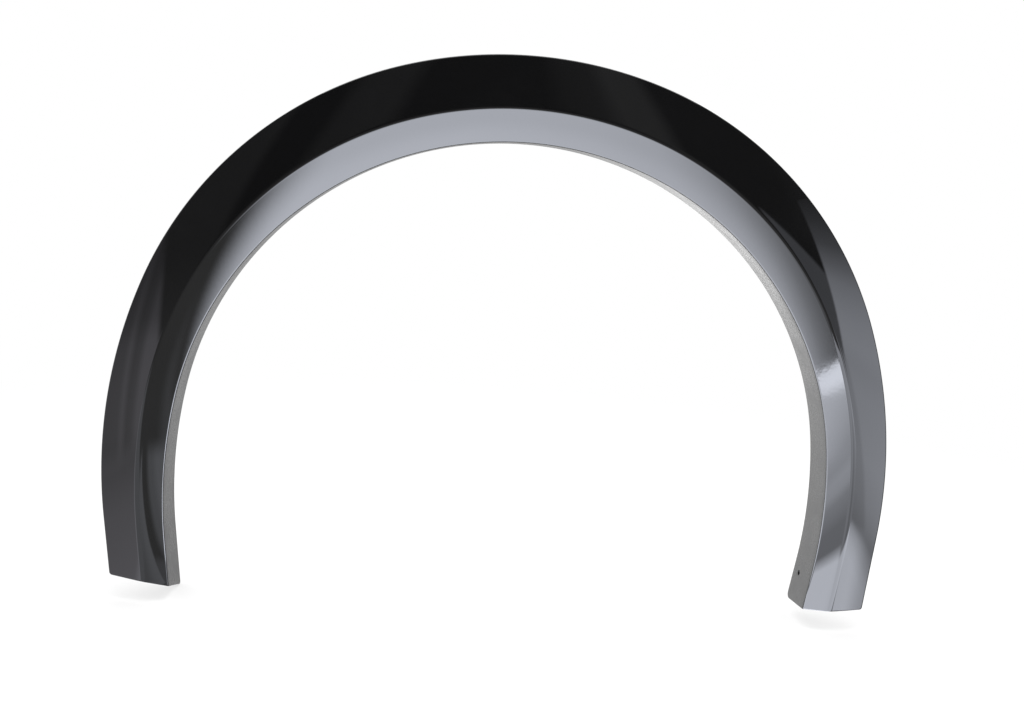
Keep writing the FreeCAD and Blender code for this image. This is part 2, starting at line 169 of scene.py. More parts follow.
class TrimSizes(bpy.types.PropertyGroup):
    """Sizes of the moulding."""

    fold_radius: length("Fold radius", "Radius of the fold between bevel and lip", 0.380)
    leg_from_left: angle("Left leg start", "Angle from the top to where the fold's left leg begins", 78.7)
    leg_from_right: angle("Right leg start", "Angle from the top to where the fold's right leg begins", 82.5)
    leg_over: length("Leg over", "How much larger the fold's radius is down the legs", 0.180)
    fold_lean_left: angle("Left fold lean", "How far past upright the fold turns on the left", 6.0)
    fold_lean_right: angle("Right fold lean", "How far past upright the fold turns on the right", 7.7)
    band_width: length("Band width", "Width of the band at the crown, fold to outer edge", 0.094)
    crown_over: length("Crown over", "How much larger the crown's radius is than the fold's", 0.104)
    crown_span: angle("Crown span", "Half the angle of the crown", 17.0)
    shoulder_over: length("Shoulder over", "How much larger the shoulders' radius is than the fold's", 0.0465)
    shoulder_span: angle("Shoulder span", "Angle of each shoulder", 51.5)
    side_over: length("Side over", "How much larger the sides' radius is than the fold's", 0.186)
    side_span_left: angle("Left side span", "Angle of the left side's arc", 28.0)
    side_span_right: angle("Right side span", "Angle of the right side's arc", 26.0)
    rim_height: length("Rim height", "Height of the outer edge over the body side", 0.006)
    ridge_height: length("Ridge height", "Height of the ridge at the crown over the body side", 0.0195)
    face_width: length("Face width", "Width of the outer face at the crown", 0.057)
    face_crown: length("Face crowning", "Radius of the outer face across its width", 0.480)
    fold_height: length("Fold height", "Height of the fold over the body side", 0.007)
    bevel_crown: length("Bevel crowning", "Radius of the bevel across its width", 0.420)
    lip_depth: length("Lip depth", "Depth of the lip behind the fold", 0.056)
    wall: length("Wall", "Thickness of the moulding", 0.003)
    ridge_round: length("Ridge round", "Radius of the ridge", 0.012)
    fold_round: length("Fold round", "Radius of the fold's edge", 0.0025)
    rim_round: length("Rim round", "Radius of the outer edge", 0.002)
    corner_round: length("Corner round", "Radius in the inner corners at the back", 0.001)
    edge_round: length("Edge round", "Size of the broken edges at the ends and the back", 0.0005)
    end_drop_left: length("Left end drop", "Drop of the fold's left end below the wheel centre", 0.148)
    end_drop_right: length("Right end drop", "Drop of the fold's right end below the wheel centre", 0.142)
    end_slant_left: angle("Left end slant", "Slant of the left leg's end across the face", 9.5)
    end_slant_right: angle("Right end slant", "Slant of the right leg's end across the face", 2.0)
    end_tilt_left: angle("Left end tilt", "Tilt of the left leg's end towards the back", 17.0)
    end_tilt_right: angle("Right end tilt", "Tilt of the right leg's end towards the back", 6.0)
    lip_corner_left: length("Left lip corner", "Radius of the lip's back corner on the left leg", 0.003)
    lip_corner_right: length("Right lip corner", "Radius of the lip's back corner on the right leg", 0.007)
    end_corner: length("End corner", "Radius of the face's outer corner at both ends", 0.0035)
    hole_radius: length("Hole radius", "Radius of the screw hole in the right leg's lip", 0.0032)
    hole_inset: length("Hole inset", "Distance of the screw hole from the lip's back edge", 0.018)
    hole_drop: length("Hole drop", "How far the screw hole is below the wheel centre", 0.111)
    spans: IntProperty(
        name="Spans", description="Groups of sections along the arch", default=11, min=4, max=50
    )


class TrimFinish(bpy.types.PropertyGroup):
    """Finishes of the moulding."""

    gloss_colour: colour("Gloss colour", "Colour of the polished face", (0.0020, 0.0020, 0.0023))
    haze_colour: colour("Haze colour", "Colour of the face where it is handled", (0.0034, 0.0034, 0.0037))
    gloss_roughness: share("Gloss roughness", "Roughness of the polished face", 0.02)
    haze_roughness: share("Haze roughness", "Roughness of the face where it is handled", 0.05)
    peel: amount("Orange peel", "Strength of the fine waviness of the polished face", 0.002)
    flow: amount("Flow waves", "Strength of the wide waviness of the polished face", 0.004)
    grain_colour: colour("Grain colour", "Colour of the grained lip and back", (0.016, 0.016, 0.017))
    # A darker colour painted into the low parts of the grain as shade
    pit_shade_colour: colour("Pit colour", "Colour in the pits of the grain", (0.009, 0.009, 0.010))
    grain_roughness: share("Grain roughness", "Roughness of the grained lip and back", 0.28)
    grain: amount("Grain", "Strength of the grain", 0.25)


class StageSettings(bpy.types.PropertyGroup):
    """Floor, light and camera."""

    floor_colour: colour("Floor colour", "Colour of the floor", (0.90, 0.90, 0.90))
    floor_gap: length("Floor gap", "Space between the trim's lowest point and the floor", 0.0005)
    room_level: amount("Room level", "Brightness of the unlit side of the room in the polish", 0.15)
    low_level: amount("Low level", "Brightness of the room's lower half in the polish", 0.5)
    key_level: amount("Key level", "Brightness of the overhead lamp", 2.0)
    card_tint: colour("Card tint", "Colour of the cards that show in the polish", (0.955, 0.995, 1.11))
    faint_tint: colour("Faint tint", "Colour of the faint card on the left", (0.90, 0.87, 0.98))
    camera_place: place("Camera place", "Where the camera stands", (-0.1048, -1.2481, 0.3373))
    camera_yaw: angle("Camera yaw", "How far the camera is turned to the right", 4.78)
    camera_pitch: angle("Camera pitch", "How far the camera is turned down", 8.87)
    camera_roll: angle("Camera roll", "How far the camera is rolled to the left", 4.32)
    camera_lens: FloatProperty(
        name="Camera lens", description="Focal length in mm on a 36 mm film", default=39.13
    )


class Signal:
    """A socket of a node tree. Arithmetic on it adds Math nodes."""

    def __init__(self, tree, socket=None):
        self.tree = tree
        self.socket = socket

    def node(self, kind, settings, inputs, output=0):
        """Adds a node: its settings first, then the values or links of its sockets."""
        made = self.tree.nodes.new(kind)
        for name, value in settings.items():
            if name == "stops":
                ramp = made.color_ramp.elements
                while len(ramp) < len(value):
                    ramp.new(0.5)
                for element, (position, level) in zip(ramp, value):
                    element.position = position
                    element.color = (level, level, level, 1.0)
            else:
                setattr(made, name, value)
        for name, value in inputs.items():
            if isinstance(value, Signal):
                self.tree.links.new(value.socket, made.inputs[name])
            else:
                made.inputs[name].default_value = value
        return Signal(self.tree, made.outputs[output] if made.outputs else None)

    def math(self, operation, *values):
        return self.node("ShaderNodeMath", {"operation": operation}, dict(enumerate(values)))

    def __add__(self, other):
        return self.math("ADD", self, other)

    def __radd__(self, other):
        return self.math("ADD", other, self)

    def __sub__(self, other):
        return self.math("SUBTRACT", self, other)

    def __rsub__(self, other):
        return self.math("SUBTRACT", other, self)

    def __mul__(self, other):
        return self.math("MULTIPLY", self, other)

    def __rmul__(self, other):
        return self.math("MULTIPLY", other, self)

    def __truediv__(self, other):
        return self.math("DIVIDE", self, other)

    def __rtruediv__(self, other):
        return self.math("DIVIDE", other, self)

    def __neg__(self):
        return self.math("SUBTRACT", 0.0, self)

    def most(self, other):
        return self.math("MAXIMUM", self, other)

    def least(self, other):
        return self.math("MINIMUM", self, other)

    def ease(self, low, high):
        """0 below low, 1 above high, and smooth between; low may be above high."""
        settings = {"interpolation_type": "SMOOTHSTEP"}
        return self.node("ShaderNodeMapRange", settings, {0: self, 1: low, 2: high, 3: 0.0, 4: 1.0})

    def window(self, start, full, fading, gone):
        """1 between full and fading, 0 before start and after gone, and smooth between."""
        return self.ease(start, full) * self.ease(gone, fading)

    def profile(self, stops):
        """A level for this value, straight between stops of value and level."""
        low, high = stops[0][0], stops[-1][0]
        top = max(level for value, level in stops)
        scaled = [((value - low) / (high - low), level / top) for value, level in stops]
        return top * self.node("ShaderNodeValToRGB", {"stops": scaled}, {0: (self - low) / (high - low)})

    def split(self):
        """The three parts of a vector."""
        first = self.node("ShaderNodeSeparateXYZ", {}, {0: self})
        return [Signal(self.tree, output) for output in first.socket.node.outputs]

    def blend(self, first, second):
        """Colour between two, by this value."""
        settings = {"data_type": "RGBA"}
        return self.node("ShaderNodeMix", settings, {0: self, 6: opaque(first), 7: opaque(second)}, output=2)


def opaque(rgb):
    """A colour with its alpha, or a socket as it is."""
    return rgb if isinstance(rgb, Signal) else (*rgb, 1.0)


def new_material(name):
    """An empty material and the start of its node tree."""
    material = bpy.data.materials.new(name)
    material.use_nodes = True
    material.node_tree.nodes.clear()
    return material, Signal(material.node_tree)


def noise(tree, scale, detail, roughness=0.5):
    """Soft noise over the object, with features of about 1 / scale metres."""
    point = tree.node("ShaderNodeTexCoord", {}, {}, output="Object")
    inputs = {"Vector": point, "Scale": scale, "Detail": detail, "Roughness": roughness}
    return tree.node("ShaderNodeTexNoise", {}, inputs)


def gloss_material(finish):
    """Polished black plastic: faint orange peel, wide flow waves and a haze where it is handled."""
    material, tree = new_material("gloss_black")
    haze = noise(tree, scale=9.0, detail=4.0, roughness=0.6).ease(0.48, 0.74)
    wipe = noise(tree, scale=60.0, detail=3.0, roughness=0.6).ease(0.40, 0.75)
    marks = haze * (0.55 + 0.45 * wipe)
    flow = tree.node(
        "ShaderNodeBump",
        {},
        {"Strength": finish.flow, "Distance": 0.010, "Height": noise(tree, scale=12.0, detail=1.0)},
    )
    peel = tree.node(
        "ShaderNodeBump",
        {},
        {
            "Strength": finish.peel,
            "Distance": 0.001,
            "Height": noise(tree, scale=230.0, detail=1.0),
            "Normal": flow,
        },
    )
    shader = tree.node(
        "ShaderNodeBsdfPrincipled",
        {},
        {
            "Base Color": marks.blend(finish.gloss_colour, finish.haze_colour),
            "Roughness": finish.gloss_roughness + (finish.haze_roughness - finish.gloss_roughness) * marks,
            "IOR": PLASTIC_IOR,
            "Normal": peel,
        },
    )
    tree.node("ShaderNodeOutputMaterial", {}, {"Surface": shader})
    return material


def grain_material(finish):
    """Spark grained black plastic, for the lip and the back, with painted shade that darkens the low parts of
    its grain.
    """
    material, tree = new_material("grained_black")
    fine = noise(tree, scale=1500.0, detail=2.0, roughness=0.6)
    coarse = noise(tree, scale=620.0, detail=1.0)
    # The grain's height, which also sets where painted shade darkens its low parts
    pits_and_pit_shade = (0.65 * fine + 0.35 * coarse).ease(0.36, 0.62)
    worn = noise(tree, scale=26.0, detail=3.0, roughness=0.6).ease(0.35, 0.75)
    bump = tree.node(
        "ShaderNodeBump",
        {},
        {"Strength": finish.grain, "Distance": 0.0002, "Height": pits_and_pit_shade},
    )
    shader = tree.node(
        "ShaderNodeBsdfPrincipled",
        {},
        {
            # Painted shade: the low parts of the grain take the darker colour
            "Base Color": pits_and_pit_shade.blend(finish.pit_shade_colour, finish.grain_colour),
            "Roughness": finish.grain_roughness + 0.06 * worn - 0.03 * pits_and_pit_shade,
            "IOR": PLASTIC_IOR,
            "Normal": bump,
        },
    )
    tree.node("ShaderNodeOutputMaterial", {}, {"Surface": shader})
    return material


def bisect(rising, low, high):
    """Where a rising function passes zero between low and high, for a whole array."""
    for _ in range(HALVINGS):
        middle = (low + high) / 2
        above = rising(middle) > 0
        high = np.where(above, middle, high)
        low = np.where(above, low, middle)
    return (low + high) / 2


def crown_centre(first, last, radius):
    """Centre of the arc of that radius which bulges outwards between two points of the section."""
    first, last = np.array(first), np.array(last)
    chord = last - first
    reach = np.hypot(*chord)
    inwards = np.array([chord[1], -chord[0]]) / reach
    return (first + last) / 2 + inwards * np.sqrt(radius**2 - reach**2 / 4)


def pair(across, height):
    """Section coordinates as one array."""
    return np.stack(np.broadcast_arrays(across, height), -1)


def unit(across, height):
    """Section direction of length 1."""
    size = np.hypot(across, height)
    return pair(across / size, height / size)


def turn_between(come, go):
    """Angle between two directions of length 1."""
    return np.arccos(np.clip((come * go).sum(-1), -1.0, 1.0))


def corner_cut(come, go, radius):
    """How far from a corner its round starts."""
    return radius * np.tan(turn_between(come, go) / 2)


def rounded(corner, come, go, radius, part):
    """The point at a part of the way along the round of a corner which turns right."""
    start = corner - corner_cut(come, go, radius)[..., None] * come
    right = pair(come[..., 1], -come[..., 0])
    swing = part * turn_between(come, go)
    on_arc = np.cos(swing)[..., None] * -right + np.sin(swing)[..., None] * come
    return start + radius * (right + on_arc)


def graded(count):
    """Parts of the way from 0 to 1, closer together at both ends."""
    even = np.linspace(0.0, 1.0, count)
    return even - CROWDING * np.sin(2 * np.pi * even)


class Form:
    """The moulding's surfaces. A place is given by the way along the fold from the top, to the right."""

    LIP, FOLD, BEVEL, RIDGE, FACE, RIM, WALL = range(7)

    def __init__(self, sizes):
        self.sizes = sizes
        outer_top = sizes.fold_radius + sizes.band_width
        self.arcs = {side: self.outer_arcs(side, outer_top) for side in (LEFT, RIGHT)}
        self.face_centre = crown_centre(
            (0, sizes.rim_height), (sizes.face_width, sizes.ridge_height), sizes.face_crown
        )
        bevel_width = sizes.band_width - sizes.face_width
        self.bevel_centre = crown_centre(
            (0, sizes.fold_height), (bevel_width, sizes.ridge_height), sizes.bevel_crown
        )
        self.lip_back = sizes.lip_depth - sizes.fold_height
        corner = max(sizes.lip_corner_left, sizes.lip_corner_right)
        self.lip_rows = corner * (1 - np.cos(np.linspace(0, np.pi / 2, LIP_CORNER_ROWS)))
        # Zones across the section, each with the part of its way that every row stands at
        zones = [
            (self.LIP, np.arange(0, LIP_ROWS)),
            (self.FOLD, np.linspace(0, 1, 7)),
            (self.BEVEL, graded(16)[1:-1]),
            (self.RIDGE, np.linspace(0, 1, 13)),
            (self.FACE, graded(20)[1:-1]),
            (self.RIM, np.linspace(0, 1, 8)),
            (self.WALL, np.array([0.5, 1.0])),
        ]
        self.zone = np.concatenate([np.full(len(parts), zone) for zone, parts in zones])
        self.part = np.concatenate([parts for zone, parts in zones]).astype(float)
        self.grained = (self.zone == self.LIP) | ((self.zone == self.FOLD) & (self.part < GRAINED_FOLD))

    def outer_arcs(self, side, outer_top):
        """The outer edge on one side: centre, radius and last angle of each arc."""
        sizes = self.sizes
        side_span = sizes.side_span_left if side == LEFT else sizes.side_span_right
        spans = (sizes.crown_span, sizes.shoulder_span, side_span)
        overs = (sizes.crown_over, sizes.shoulder_over, sizes.side_over)
        point, turned, arcs = np.array([0.0, outer_top]), 0.0, []
        for over, span in zip(overs, spans):
            radius = sizes.fold_radius + over
            centre = point - radius * np.array([math.sin(turned), math.cos(turned)])
            turned += span
            point = centre + radius * np.array([math.sin(turned), math.cos(turned)])
            arcs.append((centre, radius, turned))
        return arcs

    def fold(self, along):
        """Points of the fold and the directions that lead outwards there."""
        sizes = self.sizes
        side, far = np.where(along < 0, LEFT, RIGHT), np.abs(along)
        start = np.where(along < 0, sizes.leg_from_left, sizes.leg_from_right)
        last = math.pi / 2 + np.where(along < 0, sizes.fold_lean_left, sizes.fold_lean_right)
        leg_radius = sizes.fold_radius + sizes.leg_over
        arch_turn = np.minimum(far / sizes.fold_radius, start)
        past = far - sizes.fold_radius * arch_turn
        turn = arch_turn + np.minimum(past / leg_radius, last - start)
        beyond = past - leg_radius * (turn - arch_turn)
        arch_end = np.stack([side * np.sin(arch_turn), np.cos(arch_turn)], -1)
        outwards = np.stack([side * np.sin(turn), np.cos(turn)], -1)
        onwards = np.stack([side * np.cos(turn), -np.sin(turn)], -1)
        leg_point = sizes.fold_radius * arch_end + leg_radius * (outwards - arch_end)
        return leg_point + beyond[..., None] * onwards, outwards

    def edge_distance(self, points):
        """Distance of points inside the outer edge."""
        found = np.zeros(points.shape[:-1])
        for side, arcs in self.arcs.items():
            across, up = side * points[..., 0], points[..., 1]
            here = across >= 0 if side == RIGHT else across > 0
            centre, radius, turned = arcs[-1]
            outwards = np.array([math.sin(turned), math.cos(turned)])
            inside = radius - (across - centre[0]) * outwards[0] - (up - centre[1]) * outwards[1]
            for centre, radius, turned in reversed(arcs):
                bearing = np.arctan2(across - centre[0], up - centre[1])
                within = bearing <= turned
                inside = np.where(within, radius - np.hypot(across - centre[0], up - centre[1]), inside)
            found = np.where(here, inside, found)
        return found

    def face_height(self, inside, depth):
        """Height of the outer face, or of its back at a depth."""
        centre = self.face_centre
        return centre[1] + np.sqrt((self.sizes.face_crown - depth) ** 2 - (inside - centre[0]) ** 2)

    def bevel_height(self, across, depth):
        """Height of the bevel, or of its back at a depth."""
        centre = self.bevel_centre
        return centre[1] + np.sqrt((self.sizes.bevel_crown - depth) ** 2 - (across - centre[0]) ** 2)

    def skin(self, along, depth):
        """Points of the outer skin, or of the inner one at a depth; along has a column for each row."""
        sizes = self.sizes
        base, outwards = self.fold(along)

        def inside(across):
            return self.edge_distance(base + across[..., None] * outwards)

        def face(across):
            return self.face_height(inside(across), depth)

        def bevel(across):
            return self.bevel_height(across, depth)

        def heading(curve, across):
            return unit(2 * SLOPE_STEP, curve(across + SLOPE_STEP) - curve(across - SLOPE_STEP))

        none = np.zeros(along.shape)
        narrow, wide = BAND_RANGE
        width = bisect(lambda across: depth - inside(across), none + narrow, none + wide)
        ridge = bisect(lambda across: bevel(across) - face(across), none + depth, width)
        fold_round, rim_round = (sizes.corner_round,) * 2 if depth else (sizes.fold_round, sizes.rim_round)
        ridge_round = sizes.ridge_round - depth

        corner = pair(none + depth, bevel(none + depth))
        up, down = unit(none, none + 1), unit(none, none - 1)
        fold_go = heading(bevel, none + depth)
        fold_cut = corner_cut(up, fold_go, fold_round)
        crest = pair(ridge, bevel(ridge))
        ridge_come, ridge_go = heading(bevel, ridge), heading(face, ridge)
        ridge_cut = corner_cut(ridge_come, ridge_go, ridge_round)
        edge = pair(width, face(width))
        rim_come = heading(face, width - SLOPE_STEP)
        rim_cut = corner_cut(rim_come, down, rim_round)

        part = np.broadcast_to(self.part, along.shape)
        lip_start = -self.lip_back + np.interp(part, np.arange(LIP_CORNER_ROWS), self.lip_rows)
        lip_last = -self.lip_back + self.lip_rows[-1]
        past_corner = part - (LIP_CORNER_ROWS - 1)
        lip_part = np.clip(past_corner / (LIP_ROWS - LIP_CORNER_ROWS + 1), 0, 1)
        lip_rest = lip_last + (corner[..., 1] - fold_cut - lip_last) * lip_part
        bevel_from = corner[..., 0] + fold_cut * fold_go[..., 0]
        bevel_to = ridge - ridge_cut * ridge_come[..., 0]
        on_bevel = bevel_from + (bevel_to - bevel_from) * part
        face_from = ridge + ridge_cut * ridge_go[..., 0]
        face_to = width - rim_cut * rim_come[..., 0]
        on_face = face_from + (face_to - face_from) * part
        shapes = {
            self.LIP: pair(none + depth, np.where(past_corner > 0, lip_rest, lip_start)),
            self.FOLD: rounded(corner, up, fold_go, fold_round, part),
            self.BEVEL: pair(on_bevel, bevel(on_bevel)),
            self.RIDGE: rounded(crest, ridge_come, ridge_go, ridge_round, part),
            self.FACE: pair(on_face, face(on_face)),
            self.RIM: rounded(edge, rim_come, down, rim_round, part),
            self.WALL: pair(width, (edge[..., 1] - rim_cut) * (1 - part)),
        }
        section = np.zeros(along.shape + (2,))
        for zone, shape in shapes.items():
            section = np.where((self.zone == zone)[..., None], shape, section)
        flat = base + section[..., :1] * outwards
        return np.stack([flat[..., 0], -section[..., 1], flat[..., 1]], -1)

    def over_end(self, points, side):
        """Height of points over the cut end of a leg."""
        sizes = self.sizes
        name = "left" if side == LEFT else "right"
        drop, slant = getattr(sizes, "end_drop_" + name), getattr(sizes, "end_slant_" + name)
        tilt, corner = getattr(sizes, "end_tilt_" + name), getattr(sizes, "lip_corner_" + name)
        back = points[..., 1]
        floor = -(back + sizes.fold_height) * math.tan(tilt)
        middle = self.lip_back + PAST_LIP - corner
        centre = (corner - (middle + sizes.fold_height) * math.sin(tilt)) / math.cos(tilt)
        on_corner = np.sqrt(np.maximum(corner**2 - (back - middle) ** 2, 0.0))
        floor = np.where(back > middle - corner * math.sin(tilt), centre - on_corner, floor)
        short = np.clip(sizes.end_corner - self.edge_distance(points[..., (0, 2)]), 0.0, sizes.end_corner)
        floor = floor + sizes.end_corner - np.sqrt(sizes.end_corner**2 - short**2)
        across = -side * math.sin(slant) * (points[..., 0] - side * sizes.fold_radius)
        return across + math.cos(slant) * (points[..., 2] + drop) - floor

    def end(self, side, depth):
        """Where each row ends on a leg, along the fold."""
        sizes = self.sizes
        shortest = np.full(len(self.zone), sizes.fold_radius * math.pi / 2)
        longest = shortest + max(sizes.end_drop_left, sizes.end_drop_right) + END_REACH

        def past_end(far):
            return -self.over_end(self.skin(side * far, depth), side)

        return side * bisect(past_end, shortest, longest)

    def rings(self):
        """All points: a closed ring for each station, outer skin first and inner skin on the way back."""
        first, second = END_PARTS
        even = np.linspace(second, 1.0 - second, self.sizes.spans * STEPS - 3)
        part = np.concatenate([[0.0, first], even, [1.0 - first, 1.0]])[:, None]
        skins = []
        for depth in (0.0, self.sizes.wall):
            left, right = self.end(LEFT, depth), self.end(RIGHT, depth)
            skins.append(self.skin(left + (right - left) * part, depth))
        return np.concatenate([skins[0], skins[1][:, ::-1]], axis=1)


def start_piece():
    """Leaves edit mode and selects nothing."""
    if bpy.context.object and bpy.context.object.mode != "OBJECT":
        bpy.ops.object.mode_set(mode="OBJECT")
    bpy.ops.object.select_all(action="DESELECT")


def apply_modifier(piece, kind, settings):
    """Adds a modifier with its settings and applies it."""
    modifier = piece.modifiers.new(kind.title(), kind)
    for name, value in settings.items():
        setattr(modifier, name, value)
    bpy.ops.object.modifier_apply(modifier=modifier.name)


class TRIM_OT_moulding(bpy.types.Operator):
    """Model the one-piece moulding: face, ridge, bevel, fold, lip and rim, with its screw hole"""

    bl_idname = "trim.moulding"
    bl_label = "Moulding"

    def execute(self, context):
        sizes, finish = context.scene.trim_sizes, context.scene.trim_finish
        form = Form(sizes)
        piece = self.tube(form)
        piece.data.materials.append(gloss_material(finish))
        piece.data.materials.append(grain_material(finish))
        edges = {
            "width": sizes.edge_round,
            "segments": ROUND_SEGMENTS,
            "limit_method": "ANGLE",
            "angle_limit": ROUNDED_ANGLE,
        }
        apply_modifier(piece, "BEVEL", edges)
        self.screw_hole(piece, sizes)
        bpy.ops.object.shade_smooth_by_angle(angle=SHARP_ANGLE)
        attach(piece, "root")
        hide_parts("fender_trim")
        return {"FINISHED"}

    def tube(self, form):
        """A tube of many sections, brought to the moulding's shape and closed at both ends."""
        points = form.rings()
        stations, around = points.shape[0] - 1, points.shape[1]
        rows = around // 2
        start_piece()
        bpy.ops.mesh.primitive_cylinder_add(vertices=around, radius=1.0, depth=1.0, end_fill_type="NOTHING")
        piece = bpy.context.active_object
        piece.name = piece.data.name = "moulding"
        bpy.ops.object.mode_set(mode="EDIT")
        bpy.ops.mesh.select_mode(type="EDGE")
        for parts in (form.sizes.spans, STEPS):
            bpy.ops.mesh.select_all(action="DESELECT")
            mesh = bmesh.from_edit_mesh(piece.data)
            for edge in mesh.edges:
                edge.select = abs(edge.verts[0].co.z - edge.verts[1].co.z) > FLAT_EDGE
            bmesh.update_edit_mesh(piece.data)
            bpy.ops.mesh.subdivide(number_cuts=parts - 1)

        mesh = bmesh.from_edit_mesh(piece.data)
        corner, row_of = {}, {}
        for vert in mesh.verts:
            ring = round(math.atan2(-vert.co.x, vert.co.y) / math.tau * around) % around
            station = round((vert.co.z + 0.5) * stations)
            corner[station, ring] = vert
            row_of[vert] = ring
            vert.co = points[station, ring]
        for face in mesh.faces:
            face.material_index = self.finish_of([row_of[vert] for vert in face.verts], form, rows)
        for station in (0, stations):
            for row in range(rows - 1):
                ends = (row, row + 1, around - 2 - row, around - 1 - row)
                face = mesh.faces.new([corner[station, ring] for ring in ends])
                face.material_index = GLOSS
        bmesh.update_edit_mesh(piece.data)
        bpy.ops.mesh.select_all(action="SELECT")
        bpy.ops.mesh.normals_make_consistent(inside=False)
        bpy.ops.object.mode_set(mode="OBJECT")
        return piece

    def finish_of(self, rings, form, rows):
        """Gloss on the shown skin from the fold to the rim, and grain on the lip and the back."""
        if max(rings) >= rows:
            return GRAIN
        return GRAIN if all(form.grained[ring] for ring in rings) else GLOSS

    def screw_hole(self, piece, sizes):
        """Cuts the round hole through the right leg's lip."""
        lean = sizes.fold_lean_right
        outwards = Vector((math.cos(lean), 0.0, -math.sin(lean)))
        behind = sizes.lip_depth - sizes.fold_height - sizes.hole_inset
        middle = Vector((sizes.fold_radius, behind, -sizes.hole_drop))
        start_piece()
        bpy.ops.mesh.primitive_cylinder_add(
            vertices=DRILL_SIDES, radius=sizes.hole_radius, depth=DRILL_WALLS * sizes.wall
        )
        drill = bpy.context.active_object
        turn = outwards.to_track_quat("Z", "Y").to_matrix().to_4x4()
        drill.data.transform(Matrix.Translation(middle) @ turn)
        for material in piece.data.materials:
            drill.data.materials.append(material)
        for face in drill.data.polygons:
            face.material_index = GRAIN
        start_piece()
        piece.select_set(True)
        bpy.context.view_layer.objects.active = piece
        apply_modifier(piece, "BOOLEAN", {"operation": "DIFFERENCE", "object": drill, "solver": "EXACT"})
        bpy.data.objects.remove(drill)


class TRIM_OT_stage(bpy.types.Operator):
    """Set up the floor, the light and the camera"""

    bl_idname = "trim.stage"
    bl_label = "Stage"

    def execute(self, context):
        stage = context.scene.trim_stage
        self.floor(stage)
        self.room(context.scene, stage)
        self.lamps(stage)
        self.camera(context.scene, stage)
        context.scene.view_settings.view_transform = "Standard"
        return {"FINISHED"}

    def floor(self, stage):
        """A pale floor that keeps the shadow and runs out into the white of the background."""
        start_piece()
        height = CAD_BOX[0][2] - stage.floor_gap
        bpy.ops.mesh.primitive_plane_add(size=FLOOR_SIZE, location=(0.0, 0.0, height))
        floor = bpy.context.active_object
        floor.name = floor.data.name = "floor"
        floor.visible_glossy = False
        material, tree = new_material("pale_floor")
        point = tree.node("ShaderNodeTexCoord", {}, {}, output="Object")
        away = tree.node("ShaderNodeVectorMath", {"operation": "LENGTH"}, {0: point}, output="Value")
        seen = tree.node("ShaderNodeLightPath", {}, {}, output="Is Camera Ray")
        cloud_depth, least_white = 0.985, 0.55
        clouded = [cloud_depth * level for level in stage.floor_colour]
        tone = noise(tree, scale=5.0, detail=3.0).blend(stage.floor_colour, clouded)
        matt = tree.node("ShaderNodeBsdfDiffuse", {}, {"Color": tone})
        white = tree.node("ShaderNodeEmission", {}, {"Color": opaque(WHITE), "Strength": 1.0})
        bright = seen * (least_white + (1.0 - least_white) * away.ease(0.55, 1.5))
        mixed = tree.node("ShaderNodeMixShader", {}, {0: bright, 1: matt, 2: white})
        tree.node("ShaderNodeOutputMaterial", {}, {"Surface": mixed})
        floor.data.materials.append(material)

    def room(self, scene, stage):
        """White all round. In the polish it is dim in front, half lit below and bright behind."""
        world = bpy.data.worlds.new("room")
        scene.world = world
        world.use_nodes = True
        world.node_tree.nodes.clear()
        tree = Signal(world.node_tree)
        x, y, z = tree.node("ShaderNodeTexCoord", {}, {}, output="Generated").split()
        polish = tree.node("ShaderNodeLightPath", {}, {}, output="Is Glossy Ray")
        bearing = x / (-y).most(0.05)
        dim = stage.room_level * bearing.profile(ROOM_BARS)
        front = dim + (stage.low_level - dim) * z.ease(0.14, -0.25)
        behind = (0.8 + 0.7 * x.ease(-0.05, -0.3)) * (y - 0.25 * x).ease(-0.1, 0.3)
        level = 1.0 - polish * (1.0 - front.most(behind))
        shown = tree.node("ShaderNodeBackground", {}, {"Color": opaque(WHITE), "Strength": level})
        tree.node("ShaderNodeOutputWorld", {}, {"Surface": shown})

    def lamps(self, stage):
        """An overhead lamp that lights the floor, and cards that show in the polish only."""
        across, back, up = Vector((1, 0, 0)), Vector((0, 1, 0)), Vector((0, 0, 1))
        tint, faint = stage.card_tint, stage.faint_tint

        def key_glow(x, y, z):
            return stage.key_level

        self.card("overhead", (0.0, 0.2, 2.4), (across, back), (3.0, 2.4), WHITE, key_glow, polish=False)
        self.card("low_card", (0.145, -1.261, -0.15), (across, -back), (2.49, 2.478), tint, self.low_glow)
        self.card("foot_card", (0.0, -0.042, -0.1645), (across, -back), (0.82, 0.04), tint, self.foot_glow)
        self.card("right_card", (1.4, -1.225, 0.05), (back, up), (1.35, 1.7), tint, self.right_glow)
        self.card("left_card", (-1.4, -1.0, -0.05), (-back, up), (2.0, 1.9), faint, self.left_glow)
        self.card("back_card", (0.34, 1.0, 0.03), (across, -up), (0.7, 0.8), WHITE, self.back_glow)

    def low_glow(self, x, y, z):
        """A wide soft field in front of the crown, a bright band to its right and faint bars on the left."""
        beyond_from, onwards_from, corner = 0.1445, 0.1432, -0.6465
        beyond = 0.892 * (x - beyond_from) + 0.453 * (y - corner)
        onwards = 0.440 * (x - onwards_from) - 0.898 * (y - corner)
        band = self.band(beyond, onwards)
        outer = (x - 0.2 * y).ease(0.39, 0.41)
        right = beyond.ease(-0.0005, 0.0005) * y.ease(-2.45, -2.0) * x.ease(0.105, 0.125)
        on_right = band + outer * (self.bridge(x, y) - band)
        return (1.0 - right) * self.field(x, y) + right * on_right + self.left_bars(x, y)

    def field(self, x, y):
        """The soft field, which fans out towards the front and fades to the right."""
        axis, fan_from, fan_rate = 0.08, -1.0, 3.0
        spread = axis + (x - axis) / (1.0 + fan_rate * (fan_from - y).most(0.0))
        depth = y.most(-1.0).least(-0.6) + 0.8
        fade = (spread + 0.13 * depth).profile(FIELD_FADE)
        wide = spread + 0.22 * y.ease(-0.25, -0.1)
        level = FIELD_LEVEL + y.ease(-0.9, -0.64)
        return level * wide.ease(-0.062, 0.012) * fade * y.ease(-2.1, -1.0)

